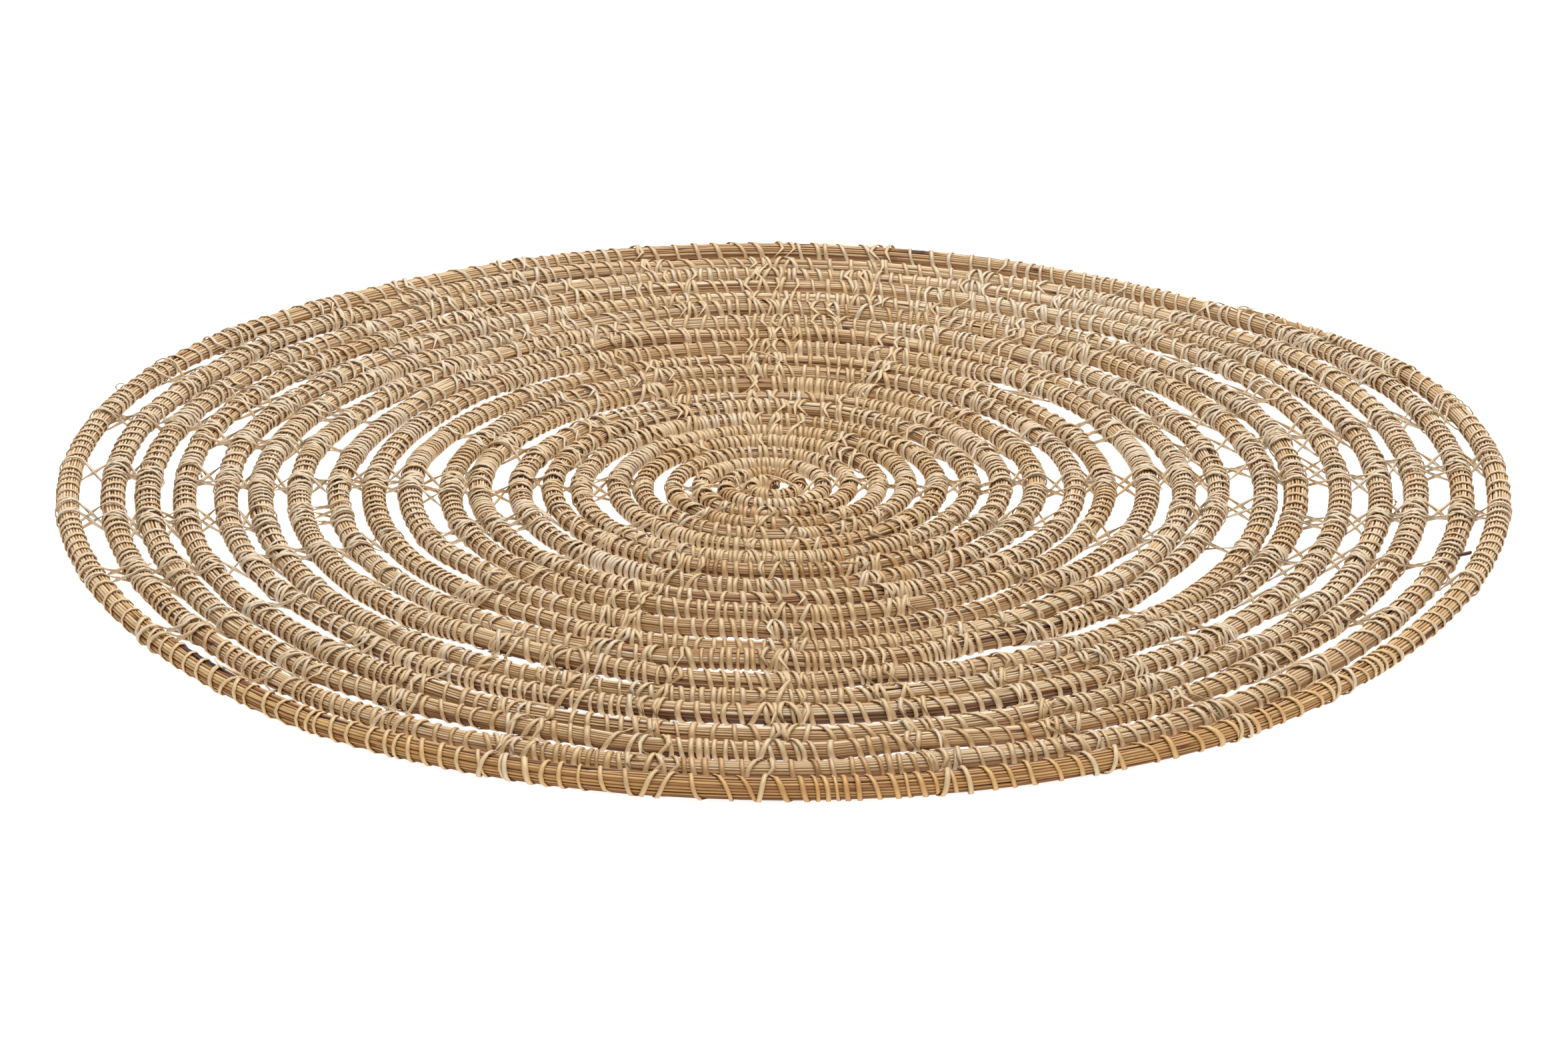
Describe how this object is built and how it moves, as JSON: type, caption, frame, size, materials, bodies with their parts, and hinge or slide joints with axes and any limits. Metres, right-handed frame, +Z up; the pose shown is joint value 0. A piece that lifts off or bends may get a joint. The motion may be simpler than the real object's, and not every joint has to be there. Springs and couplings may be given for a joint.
{
  "type": "round placemat",
  "caption": "Flat round placemat wound from one long wrapped grass coil in an open spiral, its turns tied to each other across narrow gaps.",
  "frame": {"origin": "middle of the mat's footprint, on the surface that it lies on", "axes": "+Z up, through the mat's thin way; +X to the right and -Y to the front as it lies before the viewer"},
  "size_m": [0.3832, 0.3786, 0.0098],
  "materials": {
    "coil": "dry grass stems wrapped with pale cane strip, matt with a faint gloss on the strip"
  },
  "bodies": {
    "root": {"coil": "coil"}
  },
  "joints": []
}
